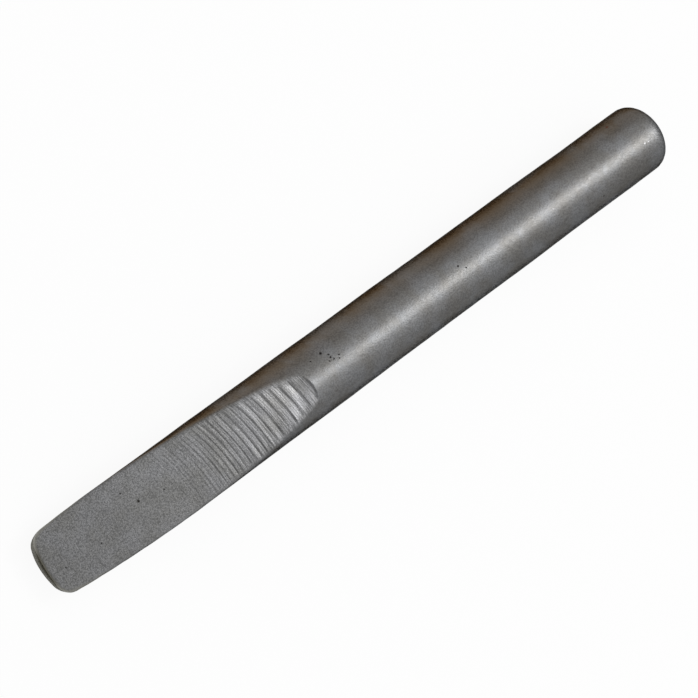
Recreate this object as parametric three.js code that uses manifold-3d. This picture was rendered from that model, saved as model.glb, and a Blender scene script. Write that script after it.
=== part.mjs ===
// Drift punch: a solid round steel bar with one inclined flat that leaves a thin tongue at the tip.
// Millimetres, +Z up. The bar lies along X on its round back, with the flat up and the head at +X.
import * as THREE from 'three';
import { mergeVertices } from 'three/addons/utils/BufferGeometryUtils.js';
import Module from 'manifold-3d';

// Driving dimensions of the bar and its struck head
const BAR_DIAMETER = 16;
const BAR_LENGTH = 180;
const HEAD_RIM_RADIUS = 3.3;

// Driving dimensions of the flat and the tongue: the reach is from the tip to where the flat's plane
// leaves the round, and the bow is the slight curve of the end seen from above, straight in its middle
const FLAT_REACH = 70;
const TIP_THICKNESS = 4.4;
const TIP_BOW_RADIUS = 33;
const TIP_STRAIGHT_WIDTH = 2.1;
const TIP_CORNER_RADIUS = 2.8;

// Driving dimensions of the cutter marks: arcs of one cutter, hollow across, that crowd together and
// fade as they near the tip. The cutter stops short of the plane's run-out and leaves a small step.
// The marks end inside the flat's long edges and leave a plain border there.
const MARK_BORDER = 0.5;
const CUTTER_RADIUS = 45;
const CUTTER_NOSE_RADIUS = 4;
const CUTTER_SKEW_DEGREES = 11;
const CUTTER_STOPS_SHORT = 3;
const MARKED_LENGTH = 32;
const FIRST_MARK_PITCH = 2.45;
const MARK_PITCH_RATIO = 0.945;
const MARK_OVERLAP = 1.06;

// Facet counts
const BAR_FACETS = 36;
const RIM_STEPS = 3;
const ARC_STEPS = 4;
const CUTTER_FACETS = 144;
const MARK_STEPS = 4;

// How far a cutting tool runs past the bar
const OVERRUN = 2;

// Steel colour and finish
const STEEL_GREY = 0x6a6a6c;
const STEEL_ROUGHNESS = 0.5;
const STEEL_METALNESS = 0.85;

// Sizes that follow from the driving dimensions; z is measured from the bar's axis, x from the tip
const radius = BAR_DIAMETER / 2;
const rim = Math.min(HEAD_RIM_RADIUS, radius);
const tipLevel = TIP_THICKNESS - radius;
const flatAngle = Math.atan2(radius - tipLevel, FLAT_REACH);
const skew = THREE.MathUtils.degToRad(CUTTER_SKEW_DEGREES);
const wide = radius + OVERRUN;

const wasm = await Module();
wasm.setup();

// A closed geometry as a solid that can be joined and cut
function solidOf(geometry) {
  const bare = geometry.clone();
  bare.deleteAttribute('normal');
  bare.deleteAttribute('uv');
  const merged = mergeVertices(bare);
  const corners = merged.index.array;
  const triangles = [];
  for (let i = 0; i < corners.length; i += 3) {
    const [a, b, c] = corners.subarray(i, i + 3);
    if (a !== b && b !== c && c !== a) {
      triangles.push(a, b, c);
    }
  }
  const mesh = new wasm.Mesh({
    numProp: 3,
    vertProperties: Float32Array.from(merged.attributes.position.array),
    triVerts: Uint32Array.from(triangles),
  });
  return new wasm.Manifold(mesh);
}

// A solid as a flat-shaded geometry
function geometryOf(solid) {
  const mesh = solid.getMesh();
  const shared = new THREE.BufferGeometry();
  shared.setAttribute('position', new THREE.BufferAttribute(mesh.vertProperties, 3));
  shared.setIndex(new THREE.BufferAttribute(mesh.triVerts, 1));
  const faceted = shared.toNonIndexed();
  faceted.computeVertexNormals();
  return faceted;
}

// The turned bar: square at the tip, where it is left long for trimming, and rounded at the head's rim
function turnedBar() {
  const outline = new THREE.Path();
  outline.moveTo(0, -OVERRUN);
  outline.lineTo(radius, -OVERRUN);
  outline.lineTo(radius, BAR_LENGTH - rim);
  outline.absarc(radius - rim, BAR_LENGTH - rim, rim, 0, Math.PI / 2);
  outline.lineTo(0, BAR_LENGTH);
  const halfFacet = Math.PI / BAR_FACETS;
  const bar = new THREE.LatheGeometry(outline.getPoints(RIM_STEPS), BAR_FACETS, halfFacet);
  return bar.rotateX(Math.PI / 2).rotateY(Math.PI / 2);
}

// Moves a tool drawn on the flat (x up the slope from the tip, z out of the flat) to its place on the bar
function ontoFlat(tool) {
  return tool.rotateY(-flatAngle).translate(0, 0, tipLevel);
}

// Distance up the slope of a point that lies this far from the tip along the bar
function upSlope(alongBar) {
  return alongBar / Math.cos(flatAngle);
}

// Centre of the cutter, on the flat, when the middle of its rim is this far from the tip along the bar
function cutterCentre(alongBar) {
  const back = CUTTER_RADIUS;
  return new THREE.Vector2(upSlope(alongBar) - back * Math.cos(skew), -back * Math.sin(skew));
}

const firstMark = FLAT_REACH - CUTTER_STOPS_SHORT;

// What the cutter takes off above the flat, from past the tip up to the arc where it stopped
function rampCut() {
  const centre = cutterCentre(firstMark);
  const lowSide = Math.asin((-wide - centre.y) / CUTTER_RADIUS);
  const highSide = Math.asin((wide - centre.y) / CUTTER_RADIUS);
  const swept = new THREE.Shape();
  swept.moveTo(-wide, wide);
  swept.lineTo(-wide, -wide);
  swept.absarc(centre.x, centre.y, CUTTER_RADIUS, lowSide, highSide);
  swept.closePath();
  const depth = BAR_DIAMETER + OVERRUN;
  return ontoFlat(new THREE.ExtrudeGeometry(swept, { depth, curveSegments: ARC_STEPS, bevelEnabled: false }));
}

// One hollow cutter mark: a ring whose section is a shallow arc of the cutter's nose
function cutterMark(alongBar, pitch) {
  const halfAngle = Math.asin((MARK_OVERLAP * pitch) / 2 / CUTTER_NOSE_RADIUS);
  const noseHeight = CUTTER_NOSE_RADIUS * Math.cos(halfAngle);
  const halfWidth = CUTTER_NOSE_RADIUS * Math.sin(halfAngle);
  const section = [];
  for (let i = 0; i <= MARK_STEPS; i += 1) {
    const angle = halfAngle * ((2 * i) / MARK_STEPS - 1);
    const out = CUTTER_RADIUS + CUTTER_NOSE_RADIUS * Math.sin(angle);
    section.push(new THREE.Vector2(out, noseHeight - CUTTER_NOSE_RADIUS * Math.cos(angle)));
  }
  section.push(new THREE.Vector2(CUTTER_RADIUS + halfWidth, OVERRUN));
  section.push(new THREE.Vector2(CUTTER_RADIUS - halfWidth, OVERRUN));
  section.push(section[0].clone());
  const centre = cutterCentre(alongBar);
  const ring = new THREE.LatheGeometry(section, CUTTER_FACETS).rotateX(Math.PI / 2);
  return ontoFlat(ring.translate(centre.x, centre.y, 0));
}

// The outline of the tongue's end seen from above: a bowed end, two round corners, then clear of the bar
function tipTrim() {
  const below = Math.max(-tipLevel, 0);
  const halfWidth = Math.sqrt(radius ** 2 - below ** 2);
  const flare = (Math.tan(flatAngle) * below) / halfWidth;
  const corner = Math.min(TIP_CORNER_RADIUS, halfWidth / 2);
  const lean = Math.hypot(1, flare);

  // Centre of the corner arc, which touches the bowed end from inside and the tongue's flaring side
  const inset = halfWidth - corner * lean;
  const b = inset * flare - TIP_BOW_RADIUS;
  const c = TIP_BOW_RADIUS ** 2 + inset ** 2 - (TIP_BOW_RADIUS - corner) ** 2;
  const x = (-b - Math.sqrt(b ** 2 - lean ** 2 * c)) / lean ** 2;
  const y = inset + flare * x;
  const fromSide = Math.PI / 2 + Math.atan(flare);
  const toEnd = Math.atan2(y, x - TIP_BOW_RADIUS);
  const toStraight = Math.PI - Math.asin(TIP_STRAIGHT_WIDTH / 2 / TIP_BOW_RADIUS);
  const turn = 2 * Math.PI;

  const outline = new THREE.Shape();
  outline.moveTo(BAR_LENGTH + OVERRUN, wide);
  outline.lineTo(BAR_DIAMETER, wide);
  outline.absarc(x, y, corner, fromSide, toEnd);
  outline.absarc(TIP_BOW_RADIUS, 0, TIP_BOW_RADIUS, toEnd, toStraight);
  outline.absarc(TIP_BOW_RADIUS, 0, TIP_BOW_RADIUS, turn - toStraight, turn - toEnd);
  outline.absarc(x, -y, corner, turn - toEnd, turn - fromSide);
  outline.lineTo(BAR_DIAMETER, -wide);
  outline.lineTo(BAR_LENGTH + OVERRUN, -wide);
  outline.closePath();
  const depth = 2 * wide;
  const trim = new THREE.ExtrudeGeometry(outline, { depth, curveSegments: ARC_STEPS, bevelEnabled: false });
  return trim.translate(0, 0, -wide);
}

// The core of the bar, which holds all of the cutter marks and leaves out the border beside them
function markedCore() {
  const core = new THREE.CylinderGeometry(radius - MARK_BORDER, radius - MARK_BORDER, BAR_LENGTH, BAR_FACETS);
  return core.rotateZ(Math.PI / 2).translate(BAR_LENGTH / 2, 0, 0);
}

// The whole bar: turned, trimmed at the tip, cut to the flat, then scored by the cutter
function driftBarGeometry() {
  const core = solidOf(markedCore());
  let solid = solidOf(turnedBar()).intersect(solidOf(tipTrim())).subtract(solidOf(rampCut()));
  let pitch = FIRST_MARK_PITCH;
  let cusp = firstMark;
  while (cusp > firstMark - MARKED_LENGTH) {
    const mark = solidOf(cutterMark(cusp - pitch / 2, pitch));
    solid = solid.subtract(mark.intersect(core));
    cusp -= pitch;
    pitch *= MARK_PITCH_RATIO;
  }
  return geometryOf(solid);
}

const steel = new THREE.MeshStandardMaterial({
  color: STEEL_GREY,
  roughness: STEEL_ROUGHNESS,
  metalness: STEEL_METALNESS,
});

const driftBar = new THREE.Mesh(driftBarGeometry(), steel);
driftBar.name = 'drift_bar';
driftBar.geometry.computeBoundingBox();
driftBar.position.set(-BAR_LENGTH / 2, 0, -driftBar.geometry.boundingBox.min.z);

const driftPunch = new THREE.Group();
driftPunch.name = 'drift_punch';
driftPunch.add(driftBar);

export default driftPunch;
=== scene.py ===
"""Looks of the drift punch: one finely modelled steel bar, seen as in the photograph."""
import math

import bpy
import numpy as np
from mathutils import Matrix, Vector


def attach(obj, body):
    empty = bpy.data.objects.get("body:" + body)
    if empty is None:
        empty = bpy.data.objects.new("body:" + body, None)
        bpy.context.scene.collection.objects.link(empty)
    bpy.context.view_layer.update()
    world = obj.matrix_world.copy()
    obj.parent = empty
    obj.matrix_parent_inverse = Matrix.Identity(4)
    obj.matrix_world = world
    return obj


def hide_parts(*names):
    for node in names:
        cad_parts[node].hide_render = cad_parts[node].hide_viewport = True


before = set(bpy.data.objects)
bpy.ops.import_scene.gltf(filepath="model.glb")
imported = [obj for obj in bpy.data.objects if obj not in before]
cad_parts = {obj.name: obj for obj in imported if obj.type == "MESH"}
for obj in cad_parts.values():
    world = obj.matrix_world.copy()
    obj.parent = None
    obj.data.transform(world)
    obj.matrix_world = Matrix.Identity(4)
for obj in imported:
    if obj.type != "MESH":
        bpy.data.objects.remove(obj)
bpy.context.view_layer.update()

MM = 0.001

# Sizes of the bar in millimetres
BAR_RADIUS = 8.0
BAR_LENGTH = 180.0
HEAD_RIM_RADIUS = 3.3
FLAT_REACH = 70.0
TIP_THICKNESS = 4.4
TIP_BOW_RADIUS = 33.0
TIP_CORNER_RADIUS = 2.6

# Cutter marks on the flat: the cutter's arc, then the spacing, slope and short wall of the marks
CUTTER_RADIUS = 45.0
CUTTER_SKEW = math.radians(11.0)
CUTTER_STOPS_SHORT = 3.0
CUTTER_SIDE_LIMIT = 0.95
MARKED_LENGTH = 42.0
FIRST_MARK_PITCH = 2.45
LAST_MARK_PITCH = 0.6
MARK_PITCH_RATIO = 0.91
FIRST_MARK_TILT = 0.015
MARK_TILT = 0.105
FIRST_WALL_SHARE = 0.04
MARK_WALL_SHARE = 0.16
MARK_DEPTH_SPREAD = 0.25
MARK_SEED = 5

# Where the marks fade: along the bar, and just inside the flat's long edges
MARK_FADE_START = 60.0
MARK_FADE_END = 22.0
MARK_END_FROM = 0.1
MARK_END_TO = 1.1

# The step where the cutter stopped: its distance from the tip, the curve seen from above and its middle
STEP_AT = 67.3
STEP_RADIUS = 7.5
STEP_SIDE = -0.6
STEP_FOOT_BLEND = 0.20

# Softness of the long edges: how far the flat and the round blend where they meet
EDGE_BLEND_AT_TIP = 0.35
EDGE_BLEND_AT_RUNOUT = 0.6
EDGE_BLEND_LEFT_EXTRA = 0.3
EDGE_BLEND_LEFT_HALF = 2.0
EDGE_BLEND_FROM = 8.0
EDGE_BLEND_TO = 46.0
EDGE_BLEND_AT_STEP = 0.18
EDGE_BLEND_END = 5.0

# Radii of the end wall's edges at the round back and at the flat, and how far down the latter holds
TIP_BACK_RADIUS = 0.35
TIP_TOP_RADIUS = 0.25
TIP_TOP_DEPTH = 1.1

# Distances over which the tones change: onto the flat, over the step, onto the end wall and its lower edge,
# where a reflection and a highlight are painted
FLAT_TONE_FROM = -0.5
FLAT_TONE_TO = 0.2
STEP_TONE_WIDTH = 0.25
END_WALL_FROM = -0.5
END_WALL_TO = -0.1
END_RIM_FROM = -3.4
END_RIM_TO = -1.4

# Unevenness of the forged and blasted surface, and of the cutter marks' lines
WAVE_COUNT = 14
WAVE_SLOWEST = 0.6
WAVE_FASTEST = 1.5
LONG_WAVE = 26.0
LONG_WAVE_HEIGHT = 0.035
LONG_WAVE_SEED = 11
SHORT_WAVE = 5.0
SHORT_WAVE_HEIGHT = 0.010
ROUND_SHORT_WAVE_SEED = 12
FLAT_SHORT_WAVE_SEED = 13
MARK_WOBBLE = 0.035
MARK_WOBBLE_LENGTH = 6.0
MARK_WOBBLE_SEED = 14

# How finely the surface is cast: columns round the bar, rows over each end, millimetres between other rows
COLUMNS = 180
FAN_ROWS = 20
TONGUE_SPACING = 0.42
MARKED_SPACING = 0.125
SHANK_SPACING = 1.0
MARKED_FROM = 28.0
MARKED_TO = 68.5

# The cast: where its rays start inside both ends, their reach as a share of the guide's, and its halvings
TIP_ORIGIN = 6.0
HEAD_ORIGIN = 8.0
CAST_REACH = 1.4
CAST_STEPS = 26
SMALLEST_RISE = 1e-6

# Values that follow from the sizes; x runs from the tip, y and z from the bar's axis
TIP_LEVEL = TIP_THICKNESS - BAR_RADIUS
TIP_HALF_WIDTH = math.sqrt(BAR_RADIUS ** 2 - TIP_LEVEL ** 2)
TIP_OUTLINE_REACH = TIP_BOW_RADIUS / 2.0
FLAT_SLOPE = (BAR_RADIUS - TIP_LEVEL) / FLAT_REACH
FLAT_ANGLE = math.atan(FLAT_SLOPE)
TIP_FLARE = FLAT_SLOPE * -TIP_LEVEL / TIP_HALF_WIDTH
FIRST_MARK = FLAT_REACH - CUTTER_STOPS_SHORT
FAR_INSIDE = -BAR_LENGTH


# A smooth rise from 0 to 1 between two values
def smoothstep(low, high, value):
    share = np.clip((value - low) / (high - low), 0.0, 1.0)
    return share * share * (3.0 - 2.0 * share)


# The larger of two distances, raised by up to a quarter of a width where they are nearly the same
def blend_max(a, b, width):
    near = np.maximum(width - np.abs(a - b), 0.0) / width
    return np.maximum(a, b) + near * near * width / 4.0


# The larger of two distances, with a round edge where the faces meet squarely
def round_max(a, b, radius):
    corner = np.hypot(np.maximum(a + radius, 0.0), np.maximum(b + radius, 0.0)) - radius
    return np.where((a > -radius) & (b > -radius), corner, np.maximum(a, b))


# Gentle unevenness: a sum of sine waves with random directions
def waves(x, y, z, length, seed):
    rng = np.random.default_rng(seed)
    total = np.zeros_like(x)
    for _ in range(WAVE_COUNT):
        way = rng.normal(size=3)
        way *= rng.uniform(WAVE_SLOWEST, WAVE_FASTEST) * 2.0 * math.pi / length / np.linalg.norm(way)
        total += np.sin(way[0] * x + way[1] * y + way[2] * z + rng.uniform(0.0, 2.0 * math.pi))
    return total / math.sqrt(WAVE_COUNT)


# Height of the flat's plane above the axis
def flat_level(x):
    return TIP_LEVEL + FLAT_SLOPE * x


# Distance from the tip, along the bar, of the middle of the cutter's arc through a point of the flat
def arc_place(x, y):
    side = (y + CUTTER_RADIUS * math.sin(CUTTER_SKEW)) / CUTTER_RADIUS
    side = np.clip(side, -CUTTER_SIDE_LIMIT, CUTTER_SIDE_LIMIT)
    ahead = CUTTER_RADIUS * (math.cos(CUTTER_SKEW) - np.sqrt(1.0 - side * side))
    return x + ahead * math.cos(FLAT_ANGLE)


# Distance from the tip of the middle of the step's own curve through a point
def step_place(x, y):
    return x + (y - STEP_SIDE) ** 2 / (2.0 * STEP_RADIUS)


# Depth of the cutter marks below the flat's plane: each falls toward the head, then rises in a short wall
def mark_depth(place):
    rng = np.random.default_rng(MARK_SEED)
    depth = np.zeros_like(place)
    cusp = FIRST_MARK
    pitch = FIRST_MARK_PITCH
    tilt = FIRST_MARK_TILT
    wall_share = FIRST_WALL_SHARE
    while cusp > FIRST_MARK - MARKED_LENGTH:
        share = (cusp - place) / pitch
        full = tilt * pitch * (1.0 + MARK_DEPTH_SPREAD * rng.uniform(-1.0, 1.0))
        wall = smoothstep(0.0, wall_share, share)
        ramp_down = 1.0 - (share - wall_share) / (1.0 - wall_share)
        inside = (share >= 0.0) & (share < 1.0)
        depth = np.where(inside, full * np.minimum(wall, ramp_down), depth)
        cusp -= pitch
        pitch = LAST_MARK_PITCH + (pitch - LAST_MARK_PITCH) * MARK_PITCH_RATIO
        tilt = MARK_TILT
        wall_share = MARK_WALL_SHARE
    return depth * smoothstep(MARK_FADE_END, MARK_FADE_START, place)


# The tongue's end: bowed seen from above, with two round corners, and cut square to the flat
def tip_outline(x, y, z):
    below = np.maximum(flat_level(x) - z, 0.0)
    x = x - FLAT_SLOPE * below
    bow = np.hypot(x - TIP_BOW_RADIUS, y) - TIP_BOW_RADIUS
    side = (np.abs(y) - TIP_HALF_WIDTH - TIP_FLARE * x) / math.hypot(1.0, TIP_FLARE)
    outline = round_max(bow, side, TIP_CORNER_RADIUS)
    return np.where(x < TIP_OUTLINE_REACH, outline, FAR_INSIDE)


# Distance from the slightly uneven round, negative inside
def round_face(x, y, z):
    long_wave = LONG_WAVE_HEIGHT * waves(x, y, z, LONG_WAVE, LONG_WAVE_SEED)
    short_wave = SHORT_WAVE_HEIGHT * waves(x, y, z, SHORT_WAVE, ROUND_SHORT_WAVE_SEED)
    return np.hypot(y, z) - BAR_RADIUS - long_wave - short_wave


# Distance from the marked flat, negative below it
def flat_face(x, y, z):
    short_wave = SHORT_WAVE_HEIGHT * waves(x, y, z, SHORT_WAVE, FLAT_SHORT_WAVE_SEED)
    wobble = MARK_WOBBLE * waves(x, y, z, MARK_WOBBLE_LENGTH, MARK_WOBBLE_SEED)
    half_width = np.sqrt(np.maximum(BAR_RADIUS ** 2 - flat_level(x) ** 2, 0.0))
    inside = smoothstep(MARK_END_FROM, MARK_END_TO, half_width - np.abs(y))
    marks = mark_depth(arc_place(x, y) + wobble) * inside
    return (z - flat_level(x)) * math.cos(FLAT_ANGLE) + marks + short_wave


# How far the flat and the round blend: more at the run-out, most on its left, and least at the step
def edge_blend(x, y):
    runout = smoothstep(EDGE_BLEND_FROM, EDGE_BLEND_TO, x)
    left = EDGE_BLEND_LEFT_EXTRA * smoothstep(-EDGE_BLEND_LEFT_HALF, EDGE_BLEND_LEFT_HALF, y)
    along = EDGE_BLEND_AT_TIP + (EDGE_BLEND_AT_RUNOUT + left - EDGE_BLEND_AT_TIP) * runout
    clear_of_step = smoothstep(0.0, EDGE_BLEND_END, STEP_AT - step_place(x, y))
    return EDGE_BLEND_AT_STEP + (along - EDGE_BLEND_AT_STEP) * clear_of_step


# Distance from the finished bar, negative inside: the round, the cut that ends at the step, and both ends
def bar_surface(x, y, z):
    cut = -blend_max(-flat_face(x, y, z), step_place(x, y) - STEP_AT, STEP_FOOT_BLEND)
    body = blend_max(round_face(x, y, z), cut, edge_blend(x, y))
    on_top = smoothstep(-TIP_THICKNESS, 0.0, z - flat_level(x) + TIP_TOP_DEPTH)
    tip_edge = TIP_BACK_RADIUS + (TIP_TOP_RADIUS - TIP_BACK_RADIUS) * on_top
    body = round_max(body, tip_outline(x, y, z), tip_edge)
    return round_max(body, x - BAR_LENGTH, HEAD_RIM_RADIUS)


# Places of the rows along the bar, closer together where the marks are
def row_places():
    tongue = np.arange(0.0, MARKED_FROM, TONGUE_SPACING)
    marked = np.arange(MARKED_FROM, MARKED_TO, MARKED_SPACING)
    shank = np.linspace(MARKED_TO, BAR_LENGTH, round((BAR_LENGTH - MARKED_TO) / SHANK_SPACING) + 1)
    return np.concatenate([tongue, marked, shank])


# Plain D-shaped sections that the finished surface is cast from, with shrinking copies over both ends
def guide_rows():
    places = row_places()
    shrink = np.linspace(1.0, 0.0, FAN_ROWS + 1)[1:-1]
    x = np.concatenate([np.zeros(len(shrink)), places, np.full(len(shrink), BAR_LENGTH)])
    scale = np.concatenate([shrink[::-1], np.ones(len(places)), shrink])
    level = np.minimum(flat_level(x), BAR_RADIUS)
    middle = (level - BAR_RADIUS) / 2.0
    turn = (np.arange(COLUMNS) + 0.5) * 2.0 * math.pi / COLUMNS
    across = np.cos(turn)[None, :]
    up = np.sin(turn)[None, :]
    to_round = -middle[:, None] * up + np.sqrt(BAR_RADIUS ** 2 - (middle[:, None] * across) ** 2)
    to_flat = np.where(up > 0.0, (level - middle)[:, None] / np.maximum(up, SMALLEST_RISE), np.inf)
    reach = np.minimum(to_round, to_flat) * scale[:, None]
    wide = np.ones_like(reach)
    guide = np.stack([x[:, None] * wide, reach * across, middle[:, None] + reach * up], axis=-1)
    start_x = np.clip(x, TIP_ORIGIN, BAR_LENGTH - HEAD_ORIGIN)
    start = np.stack([start_x[:, None] * wide, 0.0 * wide, middle[:, None] * wide], axis=-1)
    return start, guide


# Moves points outward from their starts until they meet the finished surface
def cast(start, guide):
    ray = guide - start
    low = np.zeros(ray.shape[:-1])
    high = np.full(ray.shape[:-1], CAST_REACH)
    for _ in range(CAST_STEPS):
        middle = (low + high) / 2.0
        point = start + middle[..., None] * ray
        inside = bar_surface(point[..., 0], point[..., 1], point[..., 2]) < 0.0
        low = np.where(inside, middle, low)
        high = np.where(inside, high, middle)
    return start + low[..., None] * ray


# Points of the finished surface: all rows, then the middle of the tip and of the head
def bar_points(start, guide):
    ends = np.array([[0.0, 0.0, (TIP_LEVEL - BAR_RADIUS) / 2.0], [BAR_LENGTH, 0.0, 0.0]])
    end_starts = ends + np.array([[TIP_ORIGIN, 0.0, 0.0], [-HEAD_ORIGIN, 0.0, 0.0]])
    return np.concatenate([cast(start, guide).reshape(-1, 3), cast(end_starts, ends)])


# Quads between neighbouring rows, and a fan of triangles over each end
def bar_faces(rows):
    column = np.arange(COLUMNS)
    following = (column + 1) % COLUMNS
    faces = []
    for row in range(rows - 1):
        here = row * COLUMNS
        there = here + COLUMNS
        quads = np.stack([here + column, there + column, there + following, here + following], axis=1)
        faces.extend(quads.tolist())
    tip = rows * COLUMNS
    head = tip + 1
    last = (rows - 1) * COLUMNS
    for a, b in zip(column.tolist(), following.tolist()):
        faces.append((tip, a, b))
        faces.append((head, last + b, last + a))
    return faces


# How much a point belongs to the cut flat, for the steel's tone
def flat_share(x, y, z):
    before_step = smoothstep(0.0, STEP_TONE_WIDTH, STEP_AT - step_place(x, y))
    above_round = flat_face(x, y, z) - round_face(x, y, z)
    return before_step * smoothstep(FLAT_TONE_FROM, FLAT_TONE_TO, above_round)


# How much a point is on the tongue's end wall, where an olive reflection is painted
def end_wall(x, y, z):
    return smoothstep(END_WALL_FROM, END_WALL_TO, tip_outline(x, y, z))


# How near a point of the end wall is to the wall's lower edge, where a highlight is painted
def end_rim(x, y, z):
    return end_wall(x, y, z) * smoothstep(END_RIM_FROM, END_RIM_TO, round_face(x, y, z))


# Stores one number for each point of a mesh, for its material to read
def store(mesh, name, values):
    made = mesh.attributes.new(name, "FLOAT", "POINT")
    made.data.foreach_set("value", values.astype(np.float32))


def build_bar():
    start, guide = guide_rows()
    points = bar_points(start, guide)
    placed = (points + np.array([-BAR_LENGTH / 2.0, 0.0, BAR_RADIUS])) * MM
    mesh = bpy.data.meshes.new("drift_bar_steel")
    mesh.from_pydata(placed.tolist(), [], bar_faces(len(start)))
    mesh.shade_smooth()
    store(mesh, "flat_share", flat_share(*points.T))
    store(mesh, "end_wall", end_wall(*points.T))
    store(mesh, "end_rim", end_rim(*points.T))
    store(mesh, "arc_place", arc_place(points[:, 0], points[:, 1]))
    mesh.validate()
    bar = bpy.data.objects.new("drift_bar_steel", mesh)
    bpy.context.scene.collection.objects.link(bar)
    return bar


# Noises in the steel: size in millimetres, how many finer layers, and how strong those are
GRAIN = (0.33, 2.0, 0.6)
FINE_GRAIN = (0.22, 1.0, 0.5)
MOTTLE = (1.3, 3.0, 0.6)
CLOUDS = (7.0, 5.0, 0.6)
# Clouds that break up the painted brown reflection on the left flank
BROWN_REFLECTION_NOISE = (12.0, 4.0, 0.6)

# Streaks along the cutter's arcs
STREAK_WIDTH = 0.26
STREAK_LENGTH = 9.0
STREAK_DETAIL = 2.0
STREAK_ROUGHNESS = 0.6

# Lowest and highest noise that the tones make use of, and the least share of the painted brown reflection
GRAIN_RANGE = (0.30, 0.70)
ROUND_CLOUD_RANGE = (0.36, 0.66)
FLAT_CLOUD_RANGE = (0.34, 0.68)
STREAK_RANGE = (0.34, 0.66)
BROWN_REFLECTION_RANGE = (0.32, 0.62)
BROWN_REFLECTION_LEAST = 0.5

# Where tones change: across the bar for the painted brown reflection on the left flank, and along the flat
BROWN_REFLECTION_FROM = 3.2
BROWN_REFLECTION_TO = 8.0
TONGUE_SHADE_FROM = 14.0
TONGUE_SHADE_TO = 30.0
# Painted light on the flat rises between these distances from the tip
PAINTED_LIGHT_FROM = 47.0
PAINTED_LIGHT_TO = 65.0

# Tones of the steel, as linear reflectance, with painted reflections and highlights among them
STEEL_DARK = (0.173, 0.169, 0.162, 1.0)
STEEL_LIGHT = (0.208, 0.211, 0.216, 1.0)
# Painted reflection: the brown of a dark surrounding, painted along the left flank
PAINTED_BROWN_REFLECTION = (0.128, 0.096, 0.066, 1.0)
FLAT_DARK = (0.189, 0.188, 0.184, 1.0)
FLAT_LIGHT = (0.220, 0.221, 0.226, 1.0)
# Painted reflection on the tongue's end wall, and a painted highlight along its lower edge
PAINTED_END_WALL_REFLECTION = (0.160, 0.153, 0.128, 1.0)
PAINTED_END_RIM_HIGHLIGHT = (0.360, 0.355, 0.325, 1.0)
PIT_TONE = (0.022, 0.019, 0.017, 1.0)
RUST_TONE = (0.130, 0.060, 0.040, 1.0)
# Painted highlight: the colour of the small glints
PAINTED_GLINT_TONE = (0.42, 0.42, 0.43, 1.0)
EDGE_TINT = (0.12, 0.12, 0.12, 1.0)

# Factors that darken or lighten those tones
NO_SHADE = (1.0, 1.0, 1.0, 1.0)
TONGUE_SHADE = (0.92, 0.92, 0.92, 1.0)
# Painted light: the flat lightened toward the step, where the tilted marks catch more of the key light
PAINTED_LIGHT_NEAR_STEP = (1.26, 1.26, 1.27, 1.0)
FLAT_GRAIN_DARK = (0.68, 0.68, 0.68, 1.0)
FLAT_GRAIN_LIGHT = (1.32, 1.32, 1.32, 1.0)
ROUND_GRAIN_DARK = (0.76, 0.76, 0.76, 1.0)
ROUND_GRAIN_LIGHT = (1.24, 1.24, 1.24, 1.0)
STREAK_DARK = (0.56, 0.56, 0.56, 1.0)
STREAK_LIGHT = (1.42, 1.42, 1.42, 1.0)

# Roughness in the darkest and the lightest grain
ROUGHNESS_LEAST = 0.28
ROUGHNESS_MOST = 0.50

# Bumps: depth in millimetres and strength
MOTTLE_BUMP = (0.05, 0.15)
FINE_GRAIN_BUMP = (0.03, 0.5)
PIT_BUMP = (0.15, 1.0)
GRAIN_BUMP_DEPTH = 0.06
GRAIN_BUMP_ON_ROUND = 0.55
GRAIN_BUMP_ON_FLAT = 0.75

# Spots seen on the bar: distance from the tip, across toward the left, and radius
PITS = (
    (73.5, 4.50, 0.30),
    (74.7, 3.41, 0.20),
    (74.6, 2.77, 0.20),
    (75.0, 2.10, 0.20),
    (73.9, 2.24, 0.16),
    (76.6, 2.21, 0.18),
    (76.2, 1.53, 0.14),
    (70.4, 4.30, 0.14),
    (23.3, 0.80, 0.26),
    (20.9, 4.15, 0.15),
    (29.1, -0.24, 0.14),
    (12.4, -2.07, 0.13),
    (3.7, -2.10, 0.16),
    (113.2, 2.34, 0.20),
    (114.6, 1.11, 0.16),
    (156.7, -4.67, 0.18),
)
RUST_SPOTS = (
    (168.7, 7.01, 0.35),
)
# Painted highlights: small bright glints, put in as colour
PAINTED_GLINTS = (
    (172.6, -0.24, 0.18),
    (173.7, -0.35, 0.16),
    (141.9, 0.14, 0.14),
)

# A spot's full middle and its outer end, in radii, and how far and how finely its outline is broken up
SPOT_MIDDLE = 0.4
SPOT_END = 1.5
SPOT_RAGGED = 0.35
SPOT_RAGGED_SIZE = 0.35
SPOT_RAGGED_DETAIL = 2.0
NOISE_MIDDLE = 0.5

# Sockets of a mix node for colours
MIX_SHARE = 0
MIX_FIRST = 6
MIX_SECOND = 7
MIX_RESULT = 2


# A node with its fixed values set
def node(tree, kind, **values):
    made = tree.nodes.new(kind)
    for name, value in values.items():
        if name in made.inputs:
            made.inputs[name].default_value = value
        else:
            setattr(made, name, value)
    return made


# Joins a value to a socket: a fixed one is set on it, another node's output is linked to it
def feed(tree, socket, value):
    if isinstance(value, (float, tuple)):
        socket.default_value = value
    else:
        tree.links.new(value, socket)


# A number stored for each point of the mesh
def stored(tree, name):
    return node(tree, "ShaderNodeAttribute", attribute_name=name).outputs["Fac"]


# Cloudy or grainy noise of a given size in millimetres
def noise(tree, place, size, detail, roughness):
    made = node(tree, "ShaderNodeTexNoise", Scale=1.0 / (size * MM), Detail=detail, Roughness=roughness)
    tree.links.new(place, made.inputs["Vector"])
    return made.outputs["Fac"]


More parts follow.
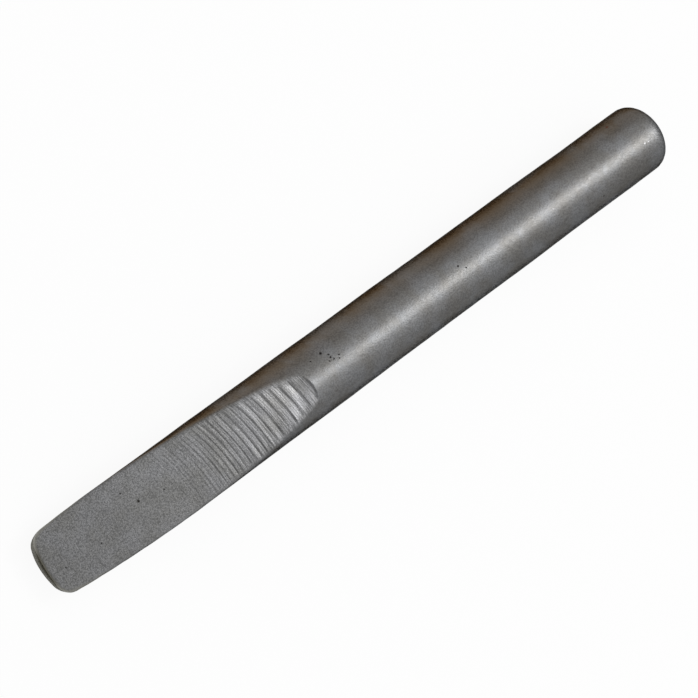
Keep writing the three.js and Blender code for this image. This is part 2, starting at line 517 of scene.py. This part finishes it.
# A smooth ramp between two values, from 0 to 1 unless other ends are given
def ramp(tree, value, low, high, to_low=0.0, to_high=1.0):
    made = node(tree, "ShaderNodeMapRange", interpolation_type="SMOOTHSTEP")
    made.inputs["From Min"].default_value = low
    made.inputs["From Max"].default_value = high
    made.inputs["To Min"].default_value = to_low
    made.inputs["To Max"].default_value = to_high
    tree.links.new(value, made.inputs["Value"])
    return made.outputs["Result"]


# A share of two colours; each is a fixed colour or another node's colour
def mix_colours(tree, share, first, second, blend="MIX"):
    made = node(tree, "ShaderNodeMix", data_type="RGBA", blend_type=blend)
    feed(tree, made.inputs[MIX_SHARE], share)
    feed(tree, made.inputs[MIX_FIRST], first)
    feed(tree, made.inputs[MIX_SECOND], second)
    return made.outputs[MIX_RESULT]


def multiply_colours(tree, first, second):
    return mix_colours(tree, 1.0, first, second, "MULTIPLY")


def arithmetic(tree, operation, first, second):
    made = node(tree, "ShaderNodeMath", operation=operation)
    feed(tree, made.inputs[0], first)
    feed(tree, made.inputs[1], second)
    return made.outputs[0]


# Height turned into a bump, chained after another
def bump(tree, height, depth, strength, before=None):
    made = node(tree, "ShaderNodeBump", Distance=depth * MM)
    tree.links.new(height, made.inputs["Height"])
    feed(tree, made.inputs["Strength"], strength)
    if before is not None:
        tree.links.new(before, made.inputs["Normal"])
    return made.outputs["Normal"]


# Fine streaks that run along the cutter's arcs
def arc_streaks(tree, along_arcs, across):
    stretched = node(tree, "ShaderNodeCombineXYZ")
    tree.links.new(arithmetic(tree, "DIVIDE", along_arcs, STREAK_WIDTH), stretched.inputs["X"])
    tree.links.new(arithmetic(tree, "DIVIDE", across, STREAK_LENGTH * MM), stretched.inputs["Y"])
    made = node(tree, "ShaderNodeTexNoise", Scale=1.0, Detail=STREAK_DETAIL, Roughness=STREAK_ROUGHNESS)
    tree.links.new(stretched.outputs[0], made.inputs["Vector"])
    return made.outputs["Fac"]


# Places shifted a little this way and that, so that spots get ragged outlines
def ragged_place(tree, place):
    scale = 1.0 / (SPOT_RAGGED_SIZE * MM)
    around = node(tree, "ShaderNodeTexNoise", Scale=scale, Detail=SPOT_RAGGED_DETAIL)
    tree.links.new(place, around.inputs["Vector"])
    centred = node(tree, "ShaderNodeVectorMath", operation="SUBTRACT")
    centred.inputs[1].default_value = (NOISE_MIDDLE, NOISE_MIDDLE, NOISE_MIDDLE)
    tree.links.new(around.outputs["Color"], centred.inputs[0])
    shifted = node(tree, "ShaderNodeVectorMath", operation="MULTIPLY_ADD")
    shifted.inputs[1].default_value = (SPOT_RAGGED * MM, SPOT_RAGGED * MM, SPOT_RAGGED * MM)
    tree.links.new(centred.outputs[0], shifted.inputs[0])
    tree.links.new(place, shifted.inputs[2])
    return shifted.outputs[0]


# Height above the axis of the upper surface: the flat before the step, or else the round
def upper_height(x, y):
    round_height = math.sqrt(BAR_RADIUS ** 2 - y ** 2)
    return min(round_height, flat_level(x)) if x < STEP_AT else round_height


# Round spots at set places on the bar: 1 in their middle, 0 outside
def spots(tree, place, where):
    total = None
    for x, y, radius in where:
        z = upper_height(x, y)
        away = node(tree, "ShaderNodeVectorMath", operation="DISTANCE")
        away.inputs[1].default_value = ((x - BAR_LENGTH / 2.0) * MM, y * MM, (z + BAR_RADIUS) * MM)
        tree.links.new(place, away.inputs[0])
        spot = ramp(tree, away.outputs["Value"], SPOT_MIDDLE * radius * MM, SPOT_END * radius * MM, 1.0, 0.0)
        total = spot if total is None else arithmetic(tree, "MAXIMUM", total, spot)
    return total


# Grey steel of the round, with a painted brown reflection along its left flank, broken up at its border
def round_tone(tree, place, across, clouds):
    tone = mix_colours(tree, ramp(tree, clouds, *ROUND_CLOUD_RANGE), STEEL_DARK, STEEL_LIGHT)
    on_left = ramp(tree, across, BROWN_REFLECTION_FROM * MM, BROWN_REFLECTION_TO * MM)
    broken = ramp(tree, noise(tree, place, *BROWN_REFLECTION_NOISE), *BROWN_REFLECTION_RANGE, BROWN_REFLECTION_LEAST, 1.0)
    return mix_colours(tree, arithmetic(tree, "MULTIPLY", on_left, broken), tone, PAINTED_BROWN_REFLECTION)


# Steel of the cut flat: a little darker on the tongue, and lightest, by painted light, where the cutter
# stopped, as the deeper tilted marks there catch more of the key light
def flat_tone(tree, along_arcs, clouds):
    tone = mix_colours(tree, ramp(tree, clouds, *FLAT_CLOUD_RANGE), FLAT_DARK, FLAT_LIGHT)
    past_tongue = ramp(tree, along_arcs, TONGUE_SHADE_FROM, TONGUE_SHADE_TO)
    tone = multiply_colours(tree, tone, mix_colours(tree, past_tongue, TONGUE_SHADE, NO_SHADE))
    step_light = ramp(tree, along_arcs, PAINTED_LIGHT_FROM, PAINTED_LIGHT_TO)
    return multiply_colours(tree, tone, mix_colours(tree, step_light, NO_SHADE, PAINTED_LIGHT_NEAR_STEP))


# The blasted grain's light and dark, stronger where the flat is smooth
def grain_speckle(tree, grain, smooth_flat):
    share = ramp(tree, grain, *GRAIN_RANGE)
    on_flat = mix_colours(tree, share, FLAT_GRAIN_DARK, FLAT_GRAIN_LIGHT)
    on_round = mix_colours(tree, share, ROUND_GRAIN_DARK, ROUND_GRAIN_LIGHT)
    return mix_colours(tree, smooth_flat, on_round, on_flat)


# The tongue's end wall with a painted olive reflection and a painted highlight along its lower edge, then
# the small spots, over another tone
def with_end_and_spots(tree, tone, ragged, pit):
    tone = mix_colours(tree, stored(tree, "end_wall"), tone, PAINTED_END_WALL_REFLECTION)
    tone = mix_colours(tree, stored(tree, "end_rim"), tone, PAINTED_END_RIM_HIGHLIGHT)
    tone = mix_colours(tree, spots(tree, ragged, RUST_SPOTS), tone, RUST_TONE)
    tone = mix_colours(tree, spots(tree, ragged, PAINTED_GLINTS), tone, PAINTED_GLINT_TONE)
    return mix_colours(tree, pit, tone, PIT_TONE)


# Bumps of the surface: mottle, two sizes of grain, and the pits as hollows
def relief(tree, place, grain, smooth_flat, pit):
    grain_strength = ramp(tree, smooth_flat, 0.0, 1.0, GRAIN_BUMP_ON_ROUND, GRAIN_BUMP_ON_FLAT)
    normal = bump(tree, noise(tree, place, *MOTTLE), *MOTTLE_BUMP)
    normal = bump(tree, grain, GRAIN_BUMP_DEPTH, grain_strength, normal)
    normal = bump(tree, noise(tree, place, *FINE_GRAIN), *FINE_GRAIN_BUMP, normal)
    return bump(tree, arithmetic(tree, "MULTIPLY", pit, -1.0), *PIT_BUMP, normal)


def blasted_steel():
    material = bpy.data.materials.new("blasted_steel")
    material.use_nodes = True
    tree = material.node_tree
    shader = tree.nodes["Principled BSDF"]
    place = node(tree, "ShaderNodeTexCoord").outputs["Object"]
    split = node(tree, "ShaderNodeSeparateXYZ")
    tree.links.new(place, split.inputs[0])
    across = split.outputs["Y"]
    on_flat = stored(tree, "flat_share")
    along_arcs = stored(tree, "arc_place")
    marked = arithmetic(tree, "MULTIPLY", on_flat, ramp(tree, along_arcs, MARK_FADE_END, MARK_FADE_START))
    smooth_flat = arithmetic(tree, "SUBTRACT", on_flat, marked)
    grain = noise(tree, place, *GRAIN)
    clouds = noise(tree, place, *CLOUDS)
    ragged = ragged_place(tree, place)
    pit = spots(tree, ragged, PITS)

    on_round = round_tone(tree, place, across, clouds)
    tone = mix_colours(tree, on_flat, on_round, flat_tone(tree, along_arcs, clouds))
    tone = multiply_colours(tree, tone, grain_speckle(tree, grain, smooth_flat))
    streaks = ramp(tree, arc_streaks(tree, along_arcs, across), *STREAK_RANGE)
    streaky = multiply_colours(tree, tone, mix_colours(tree, streaks, STREAK_DARK, STREAK_LIGHT))
    tone = mix_colours(tree, marked, tone, streaky)
    tone = with_end_and_spots(tree, tone, ragged, pit)
    rough = ramp(tree, grain, *GRAIN_RANGE, ROUGHNESS_LEAST, ROUGHNESS_MOST)

    tree.links.new(tone, shader.inputs["Base Color"])
    tree.links.new(rough, shader.inputs["Roughness"])
    tree.links.new(relief(tree, place, grain, smooth_flat, pit), shader.inputs["Normal"])
    shader.inputs["Metallic"].default_value = 1.0
    shader.inputs["Specular Tint"].default_value = EDGE_TINT
    return material


# The photograph's camera: above the bar, leaned toward the tip and the left, rolled and shifted a little
VIEW_TURN = math.radians(30.343)
VIEW_TILT = math.radians(11.537)
VIEW_ROLL = math.radians(36.315)
VIEW_DISTANCE = 0.65018
VIEW_RIGHT = 4.362 * MM
VIEW_DOWN = -2.859 * MM
VIEW_LENS = 158.27
VIEW_SENSOR = 36.0


def make_camera():
    toward_head = Vector((
        math.cos(VIEW_TURN),
        math.sin(VIEW_TURN) * math.sin(VIEW_TILT),
        math.sin(VIEW_TURN) * math.cos(VIEW_TILT),
    ))
    toward_side = Vector((0.0, -math.cos(VIEW_TILT), math.sin(VIEW_TILT)))
    back = Vector((
        -math.sin(VIEW_TURN),
        math.cos(VIEW_TURN) * math.sin(VIEW_TILT),
        math.cos(VIEW_TURN) * math.cos(VIEW_TILT),
    ))
    right = math.cos(VIEW_ROLL) * toward_head + math.sin(VIEW_ROLL) * toward_side
    down = math.cos(VIEW_ROLL) * toward_side - math.sin(VIEW_ROLL) * toward_head
    middle = Vector((0.0, 0.0, BAR_RADIUS * MM))
    place = middle + VIEW_DISTANCE * back - VIEW_RIGHT * right - VIEW_DOWN * down
    data = bpy.data.cameras.new("camera")
    data.lens = VIEW_LENS
    data.sensor_width = VIEW_SENSOR
    data.sensor_fit = "HORIZONTAL"
    camera = bpy.data.objects.new("camera", data)
    turned = Matrix((right, -down, back)).transposed().to_4x4()
    camera.matrix_world = Matrix.Translation(place) @ turned
    bpy.context.scene.collection.objects.link(camera)
    bpy.context.scene.camera = camera


# Soft lamps: direction from the bar, distance, size across and brightness of the panel
KEY_WAY = (0.62, -0.07, 0.77)
KEY_DISTANCE = 1.2
KEY_SIZE = (0.38, 0.42)
KEY_RADIANCE = 6.4
TOP_WAY = (0.45, -0.12, 0.9)
TOP_DISTANCE = 1.3
TOP_SIZE = (3.6, 1.2)
TOP_RADIANCE = 0.36

# The pale room and the floor
WORLD_TONE = (1.0, 1.0, 1.0, 1.0)
WORLD_LIGHT = 0.62
FLOOR_HALF = 6.0
FLOOR_TONE = (0.93, 0.93, 0.93, 1.0)
FLOOR_WHITE_SHARE = 0.92


# A panel of even brightness that faces the bar
def make_panel(name, way, distance, size, radiance):
    data = bpy.data.lights.new(name, "AREA")
    data.shape = "RECTANGLE"
    data.size = size[0]
    data.size_y = size[1]
    data.energy = radiance * math.pi * size[0] * size[1]
    lamp = bpy.data.objects.new(name, data)
    toward = Vector(way).normalized()
    lamp.location = toward * distance
    lamp.rotation_euler = toward.to_track_quat("Z", "Y").to_euler()
    bpy.context.scene.collection.objects.link(lamp)


# An even pale room
def make_world():
    world = bpy.data.worlds.new("studio")
    world.use_nodes = True
    bpy.context.scene.world = world
    shader = world.node_tree.nodes["Background"]
    shader.inputs["Color"].default_value = WORLD_TONE
    shader.inputs["Strength"].default_value = WORLD_LIGHT


# Near white to the camera and in reflections, with a share of the real light and shadow
def pale_floor():
    material = bpy.data.materials.new("pale_floor")
    material.use_nodes = True
    tree = material.node_tree
    shader = tree.nodes["Principled BSDF"]
    shader.inputs["Base Color"].default_value = FLOOR_TONE
    shader.inputs["Roughness"].default_value = 1.0
    shader.inputs["Specular IOR Level"].default_value = 0.0
    rays = node(tree, "ShaderNodeLightPath")
    seen = arithmetic(tree, "MAXIMUM", rays.outputs["Is Camera Ray"], rays.outputs["Is Glossy Ray"])
    seen = arithmetic(tree, "MAXIMUM", seen, rays.outputs["Is Transmission Ray"])
    white = node(tree, "ShaderNodeEmission", Strength=1.0)
    mixed = node(tree, "ShaderNodeMixShader")
    tree.links.new(arithmetic(tree, "MULTIPLY", seen, FLOOR_WHITE_SHARE), mixed.inputs[0])
    tree.links.new(shader.outputs[0], mixed.inputs[1])
    tree.links.new(white.outputs[0], mixed.inputs[2])
    tree.links.new(mixed.outputs[0], tree.nodes["Material Output"].inputs["Surface"])
    return material


def make_floor():
    mesh = bpy.data.meshes.new("floor")
    corners = [(-1, -1), (1, -1), (1, 1), (-1, 1)]
    mesh.from_pydata([(FLOOR_HALF * x, FLOOR_HALF * y, 0.0) for x, y in corners], [], [(0, 1, 2, 3)])
    mesh.materials.append(pale_floor())
    floor = bpy.data.objects.new("floor", mesh)
    bpy.context.scene.collection.objects.link(floor)


bar = build_bar()
bar.data.materials.append(blasted_steel())
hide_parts("drift_bar")
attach(bar, "root")

make_floor()
make_world()
make_panel("key_panel", KEY_WAY, KEY_DISTANCE, KEY_SIZE, KEY_RADIANCE)
make_panel("top_panel", TOP_WAY, TOP_DISTANCE, TOP_SIZE, TOP_RADIANCE)
make_camera()
bpy.context.scene.view_settings.view_transform = "Standard"
